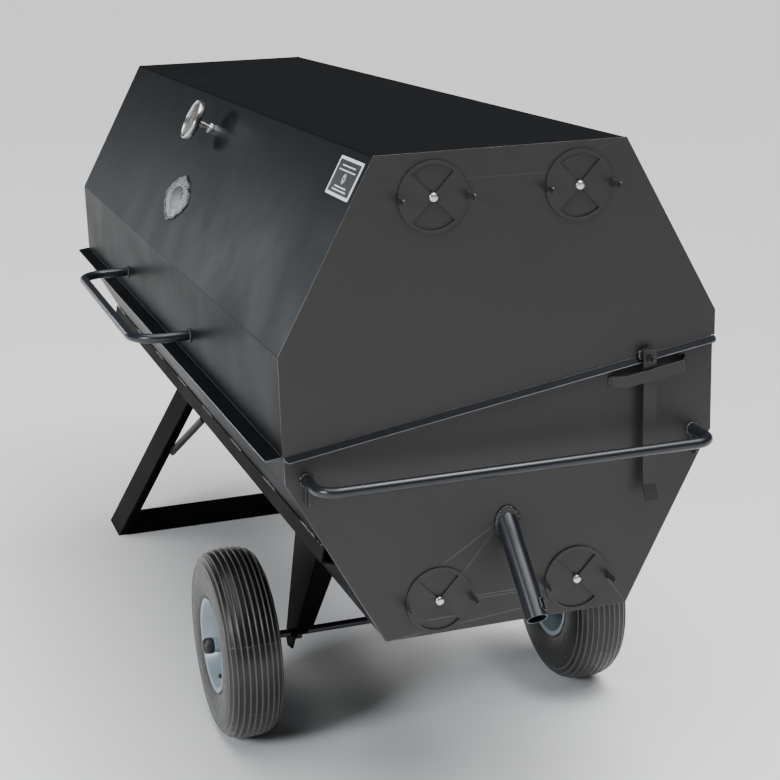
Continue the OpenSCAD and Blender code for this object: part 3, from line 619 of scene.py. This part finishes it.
# %% Stitch welds
WALL = math.atan2(TUB_FOLD_Z - FLOOR_Z, TUB_Y - FLOOR_Y)
down_wall = np.array([0.0, math.cos(WALL), -math.sin(WALL)])
off_wall = np.array([0.0, -math.sin(WALL), -math.cos(WALL)])
RAIL_Z, TOE = 0.579, 0.030 * math.cos(math.pi / 4)
rail_y = FLOOR_Y + (RAIL_Z - FLOOR_Z) * (TUB_Y - FLOOR_Y) / (TUB_FOLD_Z - FLOOR_Z)
rail_middle = np.array([0.0, -rail_y, RAIL_Z])
toe = rail_middle - (TOE + 0.0005) * down_wall + 0.0009 * off_wall
for middle in np.linspace(-0.93, 0.93, 8):
    along_toe = np.linspace(middle - 0.045, middle + 0.045, 12)[:, None] * np.array([1.0, 0, 0])
    bead("weld_rail", toe + along_toe, "tub", radius=0.0030, pitch=0.007)
end_toe = toe + np.array([TUB_X - 0.012, 0, 0])
for offset in ((0, 0, 0), (-0.006, -0.004, 0.005), (0.004, 0.003, 0.009), (-0.012, 0.002, 0.003)):
    spot = end_toe + np.array(offset)
    bead("weld_spatter", np.stack([spot, spot + [0.004, 0, 0.001]]), "tub", radius=0.0028)

# %% [markdown]
# Small beads hold the gussets, the stop lug and the stop bridge.

# %% Small beads
for sign in (-1, 1):
    for y in (-0.360, 0.360):
        for edge in (-0.0026, 0.0026):
            line = [(sign * (TUB_X + 0.001), y + edge, 0.709), (sign * (TUB_X + 0.001), y + edge, 0.677)]
            bead("weld_gusset", line, "tub", radius=0.0018, pitch=0.005, up=(1, 0, 0))
LUG_Y, LUG_Z = 0.265, seam_z(0.265)
lug_line = [(LID_X + 0.003, LUG_Y - 0.0135, LUG_Z + 0.008),
            (LID_X + 0.006, LUG_Y - 0.0145, LUG_Z - 0.002),
            (LID_X + 0.010, LUG_Y - 0.0145, LUG_Z - 0.008)]
bead("weld_lug", lug_line, "lid", radius=0.0042, pitch=0.007, up=(1, 0, 0))
BRIDGE_Y = 0.196
bridge_line = [(TUB_X + 0.001, BRIDGE_Y, seam_z(BRIDGE_Y) - 0.024),
               (TUB_X + 0.001, BRIDGE_Y, seam_z(BRIDGE_Y) - 0.042)]
bead("weld_bridge", bridge_line, "tub", radius=0.0026, pitch=0.006, up=(1, 0, 0))

# %% [markdown]
# ## Wheels
#
# The tyre is a ribbed barrow tyre. Its section is a smooth closed curve. Fine raised ridges
# run all the way round the tread. Where the mould's plates met, a fine line crosses them.
# The section has extra points at each ridge, so the ridges stay crisp.


# %% Tyre
def tyre_section(ridges=12):
    """Outer half-section as (radius, across): a round crown, a tight shoulder, a fuller side wall."""
    key = np.array([[0.0975, 0.0500], [0.101, 0.0535], [0.108, 0.0560], [0.122, 0.0584],
                    [0.140, 0.0595], [0.154, 0.0588], [0.166, 0.0568], [0.175, 0.0535],
                    [0.1825, 0.0490], [0.1885, 0.0410], [0.1925, 0.0300], [0.1948, 0.0160],
                    [0.1955, 0.0]])
    key = np.concatenate([key, (key * [1, -1])[-2::-1]])
    length = np.concatenate([[0], np.cumsum(np.linalg.norm(np.diff(key, axis=0), axis=1))])
    from_crown = np.linspace(-0.066, 0.066, ridges)
    centre = length[len(length) // 2]
    around_ridge = (centre + from_crown[:, None] + np.array([-3.0, -2.2, -1.2, 1.2, 2.2, 3.0]) * 1e-3).ravel()
    s = np.unique(np.concatenate([np.linspace(0, length[-1], 110), around_ridge]))
    smooth = np.stack([np.interp(s, length, key[:, i]) for i in range(2)], axis=1)
    kernel = np.exp(-0.5 * (np.subtract.outer(s, s) / 0.003) ** 2)
    kernel /= kernel.sum(axis=1, keepdims=True)
    rounded = kernel @ smooth
    rounded[[0, -1]] = smooth[[0, -1]]
    away = np.min(np.abs(s[:, None] - centre - from_crown[None]), axis=1)
    ridge_and_painted_highlight = np.clip((0.0026 - away) / 0.0012, 0, 1)
    return rounded, ridge_and_painted_highlight, s - centre


def tyre(name, side, body, nodes):
    """Section turned around the axle, raised at the ridges and at the mould lines."""
    section, ridge_and_painted_highlight, place = tyre_section()
    way = np.gradient(section, axis=0)
    way /= np.linalg.norm(way, axis=1, keepdims=True)
    out = np.stack([-way[:, 1], way[:, 0]], axis=1)
    out *= np.sign(np.sum(out * (section - [0.140, 0.0]), axis=1, keepdims=True) + 1e-9)
    lines = np.arange(8) * np.pi / 4 + 0.35
    around = (lines[:, None] + np.array([-0.004, -0.0015, 0.0015, 0.004])).ravel()
    a = np.unique(np.concatenate([np.linspace(0, 2 * np.pi, 289)[:-1], around % (2 * np.pi)]))
    gap = np.abs((a[:, None] - lines[None] + np.pi) % (2 * np.pi) - np.pi).min(axis=1)
    across = np.clip(1.0 - gap / 0.003, 0, 1)[:, None] * (np.abs(place) < 0.072)[None]
    dots = 0.5 + 0.5 * np.sign(np.sin(place * 2 * np.pi / 0.007))[None]
    height = 0.0016 * ridge_and_painted_highlight[None] + 0.0007 * across * dots
    profile = section[None] + out[None] * height[..., None] - out[None] * 0.0016
    r, w = profile[..., 0], profile[..., 1]
    points = np.stack([AXLE_X + r * np.cos(a)[:, None], side * WHEEL_Y + w,
                       AXLE_Z + r * np.sin(a)[:, None]], axis=-1)
    lip = np.array([[0.0905, -0.0470], [0.0890, -0.0430], [0.0890, 0.0430], [0.0905, 0.0470]])
    inner = np.stack([AXLE_X + lip[None, :, 0] * np.cos(a)[:, None],
                      side * WHEEL_Y + np.broadcast_to(lip[None, :, 1], (len(a), 4)),
                      AXLE_Z + lip[None, :, 0] * np.sin(a)[:, None]], axis=-1)
    grid = np.concatenate([points, inner], axis=1)
    # Colour value: a painted highlight on the ridge tops and the mould lines.
    value = np.concatenate([np.maximum(ridge_and_painted_highlight[None] * 0.85, across * dots * 0.8) + 0 * points[..., 0],
                            np.zeros((len(a), 4))], axis=1)
    piece = from_grid(name, grid, wrap_rows=True, wrap_cols=True, smooth_angle=80)
    store = piece.data.attributes.new("ridge_and_painted_highlight", "FLOAT", "POINT")
    assert len(piece.data.vertices) == value.size, (len(piece.data.vertices), value.size)
    store.data.foreach_set("value", value.ravel().astype(np.float32))
    return put(piece, body, rubber_tyre, *nodes)


tyre("tyre_front_ribbed", -1, "wheel_front", ["tyre_front"])
tyre("tyre_rear_ribbed", 1, "wheel_rear", ["tyre_rear"])

# %% [markdown]
# The rim is pressed from sheet: a rolled flange holds the tyre's bead, the barrel drops to a
# well, and a dished disc carries the hub. The section is drawn once and turned.


# %% Rim
def rim(name, side, body, nodes):
    """Rim section turned around the axle; the disc's dish faces outwards."""
    barrel = np.array([[97, 50], [90, 48], [86, 42], [80, 32], [75, 24], [74, 21], [74, -21],
                       [75, -24], [80, -32], [86, -42], [90, -48], [97, -50], [98.2, -51.5],
                       [97, -53], [92, -52.4], [88, -51], [83, -43], [76, -32], [71.6, -24.5],
                       [71, -22], [71, 22], [71.6, 24.5], [76, 32], [83, 43], [88, 51],
                       [92, 52.4], [97, 53], [98.2, 51.5]]) / 1000
    disc = np.array([[72.5, -10], [72.5, -6], [69, -5.5], [64, -2], [59, 2.5], [54, 4.4], [42, 4.4],
                     [37, 2], [31, -4], [26, -7.4], [15, -8], [15, -12], [27, -11.6], [33, -8], [39, -2],
                     [44, 0.4], [53, 0.4], [57, -1.4], [62, -6], [67, -9.4]]) / 1000
    hub = np.array([[8.2, -48], [15.4, -48], [16, -47.4], [16, 47.4], [15.4, 48], [8.2, 48]]) / 1000
    centre = (AXLE_X, side * WHEEL_Y, AXLE_Z)
    parts = [turned(name + part, profile, centre, (0, side, 0), 96, start=(0, 0, 1))
             for part, profile in (("", barrel), ("_disc", disc), ("_hub", hub))]
    put(parts[0], body, paint_rim, *nodes)
    for extra in parts[1:]:
        put(extra, body, paint_rim, slot="rim_paint")


rim("rim_front_pressed", -1, "wheel_front", ["rim_front"])
rim("rim_rear_pressed", 1, "wheel_rear", ["rim_rear"])
cap = np.array([[0.0083, 0], [0.0162, 0], [0.0165, 0.0006], [0.0165, 0.010], [0.0158, 0.0140],
                [0.0142, 0.0172], [0.0115, 0.0198], [0.0080, 0.0212], [0.0040, 0.0219], [0.0002, 0.022],
                [0.0002, 0.0152], [0.0083, 0.015]])
for index, side in enumerate((-1, 1)):
    piece = turned("hub_cap", cap, (AXLE_X, side * (WHEEL_Y + 0.050), AXLE_Z), (0, side, 0), 48,
                   start=(0, 0, 1), smooth_angle=50)
    put(piece, "tub", rubber_plain, *(["axle_caps"] if index == 0 else []), slot="rubber")
for node, body in (("valve_front", "wheel_front"), ("valve_rear", "wheel_rear")):
    put(softened(node, 0.001), body, rubber_plain, node)

# %% [markdown]
# ## Thermometer
#
# A stainless case with a rolled bezel stands off the slope on a stem. Under the glass is a
# printed dial with ticks and plain numbers. The frame of the slope is worked out once:
# `along`, `up_slope` and `away` are its three directions.

# %% Frame of the slope
SLOPE = math.atan2(TOP_Z - LID_FOLD_Z, LID_Y - TOP_Y)
along = np.array([1.0, 0.0, 0.0])
up_slope = np.array([0.0, math.cos(SLOPE), math.sin(SLOPE)])
away = np.array([0.0, -math.sin(SLOPE), math.cos(SLOPE)])


def on_slope(x, s, out=0.0):
    """Point on the lid's front slope: x along the lid, s up the slope, out away from it."""
    return np.array([x, -LID_Y, LID_FOLD_Z]) + s * up_slope + out * away


# %% Case, stem and glass
therm = on_slope(-0.003, 0.290)
case = np.array([[0.0005, 38.0], [30, 38.0], [40.5, 38.3], [43, 38.8], [44.4, 40], [45, 42], [45, 49.6],
                 [44.8, 51.4], [44, 52.6], [42.8, 53.0], [41.4, 52.8], [40.6, 52], [40.1, 50.4],
                 [40, 43.2], [0.0005, 43.1]])
case[:, :] = case / 1000
put(turned("therm_case_rolled", case, therm, away, 96, start=(1, 0, 0), smooth_angle=40),
    "lid", stainless, "therm_case")
stem = np.array([[0.0002, 8], [6, 8], [6, 20], [7.5, 20.4], [7.5, 24], [6, 24.4], [6, 30],
                 [9.5, 30.6], [10, 32], [10, 36], [12, 37.9], [0.0002, 37.9]]) / 1000
put(turned("therm_stem_turned", stem, therm, away, 40, start=(1, 0, 0)), "lid", stainless, "therm_stem")
put(softened("therm_nut", 0.0012, 3), "lid", stainless, "therm_nut")


def glass_finish():
    """Clear flat glass."""
    mat, tree, shader = finish("gauge_glass", (1.0, 1.0, 1.0), roughness=0.03)
    shader.inputs["Transmission Weight"].default_value = 1.0
    shader.inputs["IOR"].default_value = 1.45
    shader.inputs["Alpha"].default_value = 0.35
    smear = noise(tree, 60.0, detail=3.0)
    tree.links.new(ramp(tree, smear, 0.01, 0.08), shader.inputs["Roughness"])
    return mat


lens = np.array([[0.0002, 49.5], [40, 49.5], [40, 50.6], [39.6, 51], [0.0002, 51]]) / 1000
put(turned("therm_glass", lens, therm, away, 64, start=(1, 0, 0)), "lid", glass_finish(), "therm_lens")

# %% [markdown]
# The dial's print is thin raised ink: short bars for ticks, thicker ones at every tenth, and
# a coloured arc for the cooking range. The numbers are plain text turned into mesh.

# %% Dial
def simple(name, colour, roughness=0.5, metallic=0.0, fine=500.0):
    """Printed or painted finish with a faint mottle and grain."""
    mat, tree, shader = finish(name, colour, metallic=metallic, roughness=roughness)
    mottle = noise(tree, 40.0, detail=4.0)
    dark = tuple(c * 0.88 for c in colour)
    tree.links.new(mix(tree, mottle, dark, colour), shader.inputs["Base Color"])
    tree.links.new(ramp(tree, mottle, roughness * 0.85, min(roughness * 1.15, 1)), shader.inputs["Roughness"])
    bump(tree, shader, noise(tree, fine), 0.00003, 0.4)
    return mat


dial_ink = simple("dial_ink", (0.02, 0.02, 0.022))
dial_face = simple("dial_face", (0.25, 0.27, 0.25), 0.5)
disc_profile = np.array([[0.0002, 43.0], [39.8, 43.0], [39.8, 44.0], [0.0002, 44.0]]) / 1000
put(turned("therm_dial_face", disc_profile, therm, away, 64, start=(1, 0, 0)), "lid", dial_face, "therm_dial")


def bars_on(name, centre, x_dir, y_dir, out_dir, quads, height, body, mat, slot):
    """Thin raised quads: rows of four (x, y) corners on a plane, one solid each."""
    q = np.asarray(quads, dtype=float)
    flat = centre + q[..., :1] * x_dir + q[..., 1:] * y_dir
    points = np.concatenate([flat, flat + height * out_dir], axis=1)
    base = np.arange(len(q))[:, None, None] * 8
    box = np.array([[3, 2, 1, 0], [4, 5, 6, 7], [0, 1, 5, 4], [1, 2, 6, 5], [2, 3, 7, 6], [3, 0, 4, 7]])
    piece = add_piece(name, points.reshape(-1, 3), (base + box).reshape(-1, 4).tolist())
    return put(piece, body, mat, slot=slot)


def radial(angles, r0, r1, half):
    """Quads that point at the centre: one per angle, from r0 to r1."""
    a = np.asarray(angles)[:, None]
    corner_r = np.array([r0, r1, r1, r0])[None]
    corner_w = np.array([-half, -half, half, half])[None]
    return np.stack([corner_r * np.cos(a) - corner_w * np.sin(a),
                     corner_r * np.sin(a) + corner_w * np.cos(a)], axis=-1)


ticks = np.radians(np.linspace(225, -45, 51))
face_centre = therm + 0.0440 * away
bars_on("dial_ticks", face_centre, along, up_slope, away, radial(ticks, 0.034, 0.0375, 0.00025),
        0.0002, "lid", dial_ink, "dial_white")
bars_on("dial_major_ticks", face_centre, along, up_slope, away, radial(ticks[::5], 0.0318, 0.0375, 0.0006),
        0.00025, "lid", dial_ink, "dial_white")
arc_angles = np.radians(np.linspace(120, 60, 24))
bars_on("dial_range", face_centre, along, up_slope, away, radial(arc_angles, 0.0285, 0.0305, 0.0009),
        0.0002, "lid", simple("dial_red", (0.45, 0.03, 0.02)), "needle_red")


def words(name, text, size, centre, x_dir, y_dir, out_dir, body, mat, slot, thick=0.0002):
    """Plain printed text turned into a mesh and laid on a plane."""
    curve = bpy.data.curves.new(name, "FONT")
    curve.body = text
    curve.size = size
    curve.extrude = thick / 2
    curve.align_x = "CENTER"
    curve.align_y = "CENTER"
    holder = bpy.data.objects.new(name + "_text", curve)
    bpy.context.collection.objects.link(holder)
    bpy.context.view_layer.update()
    mesh = bpy.data.meshes.new_from_object(holder)
    bpy.data.objects.remove(holder)
    co = np.empty(len(mesh.vertices) * 3)
    mesh.vertices.foreach_get("co", co)
    co = co.reshape(-1, 3)
    placed = centre + TUB + co[:, :1] * x_dir + co[:, 1:2] * y_dir + (co[:, 2:] + thick / 2) * out_dir
    mesh.vertices.foreach_set("co", placed.ravel())
    piece = bpy.data.objects.new(name, mesh)
    bpy.context.collection.objects.link(piece)
    return put(piece, body, mat, slot=slot)


for i, angle in enumerate(np.radians(np.linspace(225, -45, 6))):
    spot = face_centre + 0.0255 * (math.cos(angle) * along + math.sin(angle) * up_slope)
    words("dial_number_" + str(i), str(i * 100 + 50), 0.0058, spot, along, up_slope, away, "lid",
          dial_ink, "dial_white")
needle_paint = simple("needle_paint", (0.42, 0.02, 0.015), 0.35)
put(softened("therm_needle", 0.0002), "lid", needle_paint, "therm_needle")

# %% [markdown]
# ## Badge and label
#
# The badge is a plain brushed plate with an outline of soft lobes, a raised rim and brighter
# rays. It carries no name and no mark. The label is a dark plate with a pale border, a plain
# round sign and lines.


# %% Badge
def lobed(angle, width, height):
    """Soft lobed outline: radius = 1 + 0.07 cos 4a + 0.035 cos 12a, stretched to the size."""
    r = (1 + 0.07 * np.cos(4 * angle) + 0.035 * np.cos(12 * angle)) / 1.105
    return np.stack([r * np.cos(angle) * width / 2, r * np.sin(angle) * height / 2], axis=-1)


badge_centre = on_slope(-0.023, 0.122)
BADGE_WIDTH, BADGE_HEIGHT = 0.212, 0.108
levels = np.array([[0.0, 1.0], [2.0, 1.0], [3.6, 0.985], [4.0, 0.965], [4.0, 0.915], [3.6, 0.895],
                   [2.6, 0.885], [2.6, 0.5], [2.9, 0.47], [2.9, 0.0001]])
angles = np.linspace(0, 2 * np.pi, 240, endpoint=False)
outline = lobed(angles, BADGE_WIDTH, BADGE_HEIGHT)
rings = outline[None] * levels[:, 1][:, None, None]
height = (levels[:, 0] / 1000)[:, None, None] * away
grid = badge_centre + rings[..., :1] * along + rings[..., 1:] * up_slope + height
badge_metal = brushed("badge_metal", (0.11, 0.114, 0.118), 0.36, (40, 700, 700))
badge_bright = brushed("badge_bright", (0.55, 0.56, 0.57), 0.25, (40, 700, 700))
put(from_grid("badge_plate", grid, wrap_cols=True, ends=True, smooth_angle=30), "lid", badge_metal, "badge")
ray_angles = np.linspace(0, 2 * np.pi, 48, endpoint=False)
rays = radial(ray_angles, 0.50, 0.86, 0.010) * np.array([BADGE_WIDTH / 2, BADGE_HEIGHT / 2])
bars_on("badge_rays", badge_centre + 0.0026 * away, along, up_slope, away, rays, 0.0006, "lid",
        badge_bright, "badge_plate")

# %% Label
label_centre = on_slope(0.948, 0.310)
label_white = simple("label_white", (0.75, 0.76, 0.76), 0.4)
label_black = simple("label_black", (0.004, 0.0042, 0.0045), 0.4)


def rounded_rect(width, height, radius, steps=6):
    """Outline of a rectangle with quarter-circle corners."""
    a = np.linspace(0, np.pi / 2, steps)
    quarter = np.stack([np.cos(a), np.sin(a)], axis=1) * radius
    turns = np.array([[[1, 0], [0, 1]], [[0, -1], [1, 0]], [[-1, 0], [0, -1]], [[0, 1], [-1, 0]]])
    arcs = np.einsum("kij,nj->kni", turns, quarter)
    centre = np.array([[1, 1], [-1, 1], [-1, -1], [1, -1]]) * [width / 2 - radius, height / 2 - radius]
    return (arcs + centre[:, None]).reshape(-1, 2)


def plate_on(name, centre, outline, low, high, mat, nodes=(), slot=None, soft=0.0002):
    """Thin flat plate between two heights above the slope."""
    shrink = np.array([1.0, 1.0, 1 - soft / np.abs(outline).max(), 0.0001])
    heights = np.array([low, high - soft, high, high])
    rows = outline[None] * shrink[:, None, None]
    g = centre + rows[..., :1] * along + rows[..., 1:] * up_slope + heights[:, None, None] * away
    return put(from_grid(name, g, wrap_cols=True, ends=True), "lid", mat, *nodes, slot=slot)


plate_on("label_border", label_centre, rounded_rect(0.125, 0.069, 0.003), 0.0, 0.0008, label_white,
         ["rating_plate"])
plate_on("label_field", label_centre, rounded_rect(0.112, 0.058, 0.002), 0.0008, 0.0010, label_black,
         slot="plate_silver")
lines = np.array([[[-w / 2, y - 0.0011], [w / 2, y - 0.0011], [w / 2, y + 0.0011], [-w / 2, y + 0.0011]]
                  for w, y in ((0.070, 0.020), (0.086, 0.012), (0.060, -0.017), (0.074, -0.023))])
sign_angles = np.radians(np.arange(0, 360, 30))
bars_on("label_sign", label_centre + 0.0010 * away - 0.002 * up_slope, along, up_slope, away,
        radial(sign_angles, 0.0035, 0.0095, 0.0007), 0.0001, "lid", label_white, "plate_silver")
bars_on("label_lines", label_centre + 0.0010 * away, along, up_slope, away, lines, 0.0001, "lid",
        label_white, "plate_silver")

# %% [markdown]
# ## Camera, floor and light
#
# The roaster is black and glossy, so it shows the room more than itself. Big soft panels
# give long gentle gradients on the flat sheets and thin lines along the folds. The floor is
# plain and pale.

# %% Stage
floor_mat = finish("studio_floor", (0.90, 0.90, 0.90), roughness=0.7)[0]
bpy.ops.mesh.primitive_plane_add(size=400.0, location=(0, 0, 0))
floor = bpy.context.object
floor.name = "studio_floor"
floor.data.materials.append(floor_mat)

world = bpy.data.worlds.new("studio")
bpy.context.scene.world = world
world.use_nodes = True
world.node_tree.nodes["Background"].inputs["Color"].default_value = (0.9, 0.88, 0.85, 1.0)
world.node_tree.nodes["Background"].inputs["Strength"].default_value = 0.08

sky = bpy.data.lights.new("soft_sky", "SUN")
sky.energy = 3.9
sky.angle = math.radians(70)
sky_holder = bpy.data.objects.new("soft_sky", sky)
sky_holder.rotation_euler = (math.radians(-8), math.radians(6), 0)
bpy.context.collection.objects.link(sky_holder)


def panel(name, place, target, width, height, power, colour=(1, 1, 1)):
    """Soft rectangular light at a place, facing a target."""
    light = bpy.data.lights.new(name, "AREA")
    light.shape = "RECTANGLE"
    light.size, light.size_y = width, height
    light.energy = power
    light.color = colour
    holder = bpy.data.objects.new(name, light)
    bpy.context.collection.objects.link(holder)
    toward = np.asarray(target, dtype=float) - np.asarray(place, dtype=float)
    toward /= np.linalg.norm(toward)
    side = np.cross(toward, [0, 0, 1.0])
    side /= np.linalg.norm(side)
    over = np.cross(side, toward)
    turn = Matrix([[side[i], over[i], -toward[i], place[i]] for i in range(3)] + [[0, 0, 0, 1]])
    holder.matrix_world = turn


panel("edge_panel", (2.6, -4.2, 2.6), (0.4, 0, 0.9), 1.6, 1.6, 180, (0.9, 0.95, 1.0))
panel("top_panel", (1.6, 1.2, 4.6), (0.8, 0, 1.0), 1.5, 1.5, 100, (0.9, 0.95, 1.0))
panel("slope_panel", (-8.4, -4.0, 2.2), (0, 0, 1.0), 1.6, 0.8, 60, (0.85, 0.93, 1.0))

# %% Camera
AZ, EL, ROLL = math.radians(71.901), math.radians(15.646), math.radians(-1.806)
forward = np.array([-math.sin(AZ) * math.cos(EL), math.cos(AZ) * math.cos(EL), -math.sin(EL)])
level_right = np.cross(forward, [0, 0, 1.0])
level_right /= np.linalg.norm(level_right)
level_up = np.cross(level_right, forward)
right = math.cos(ROLL) * level_right + math.sin(ROLL) * level_up
above = -math.sin(ROLL) * level_right + math.cos(ROLL) * level_up
eye = np.array([3.614, -1.054, 1.621]) + TUB
lens_data = bpy.data.cameras.new("camera")
lens_data.sensor_width = 36.0
lens_data.lens = 77.92
camera = bpy.data.objects.new("camera", lens_data)
bpy.context.collection.objects.link(camera)
camera.matrix_world = Matrix([[right[i], above[i], -forward[i], eye[i]] for i in range(3)] + [[0, 0, 0, 1]])
bpy.context.scene.camera = camera
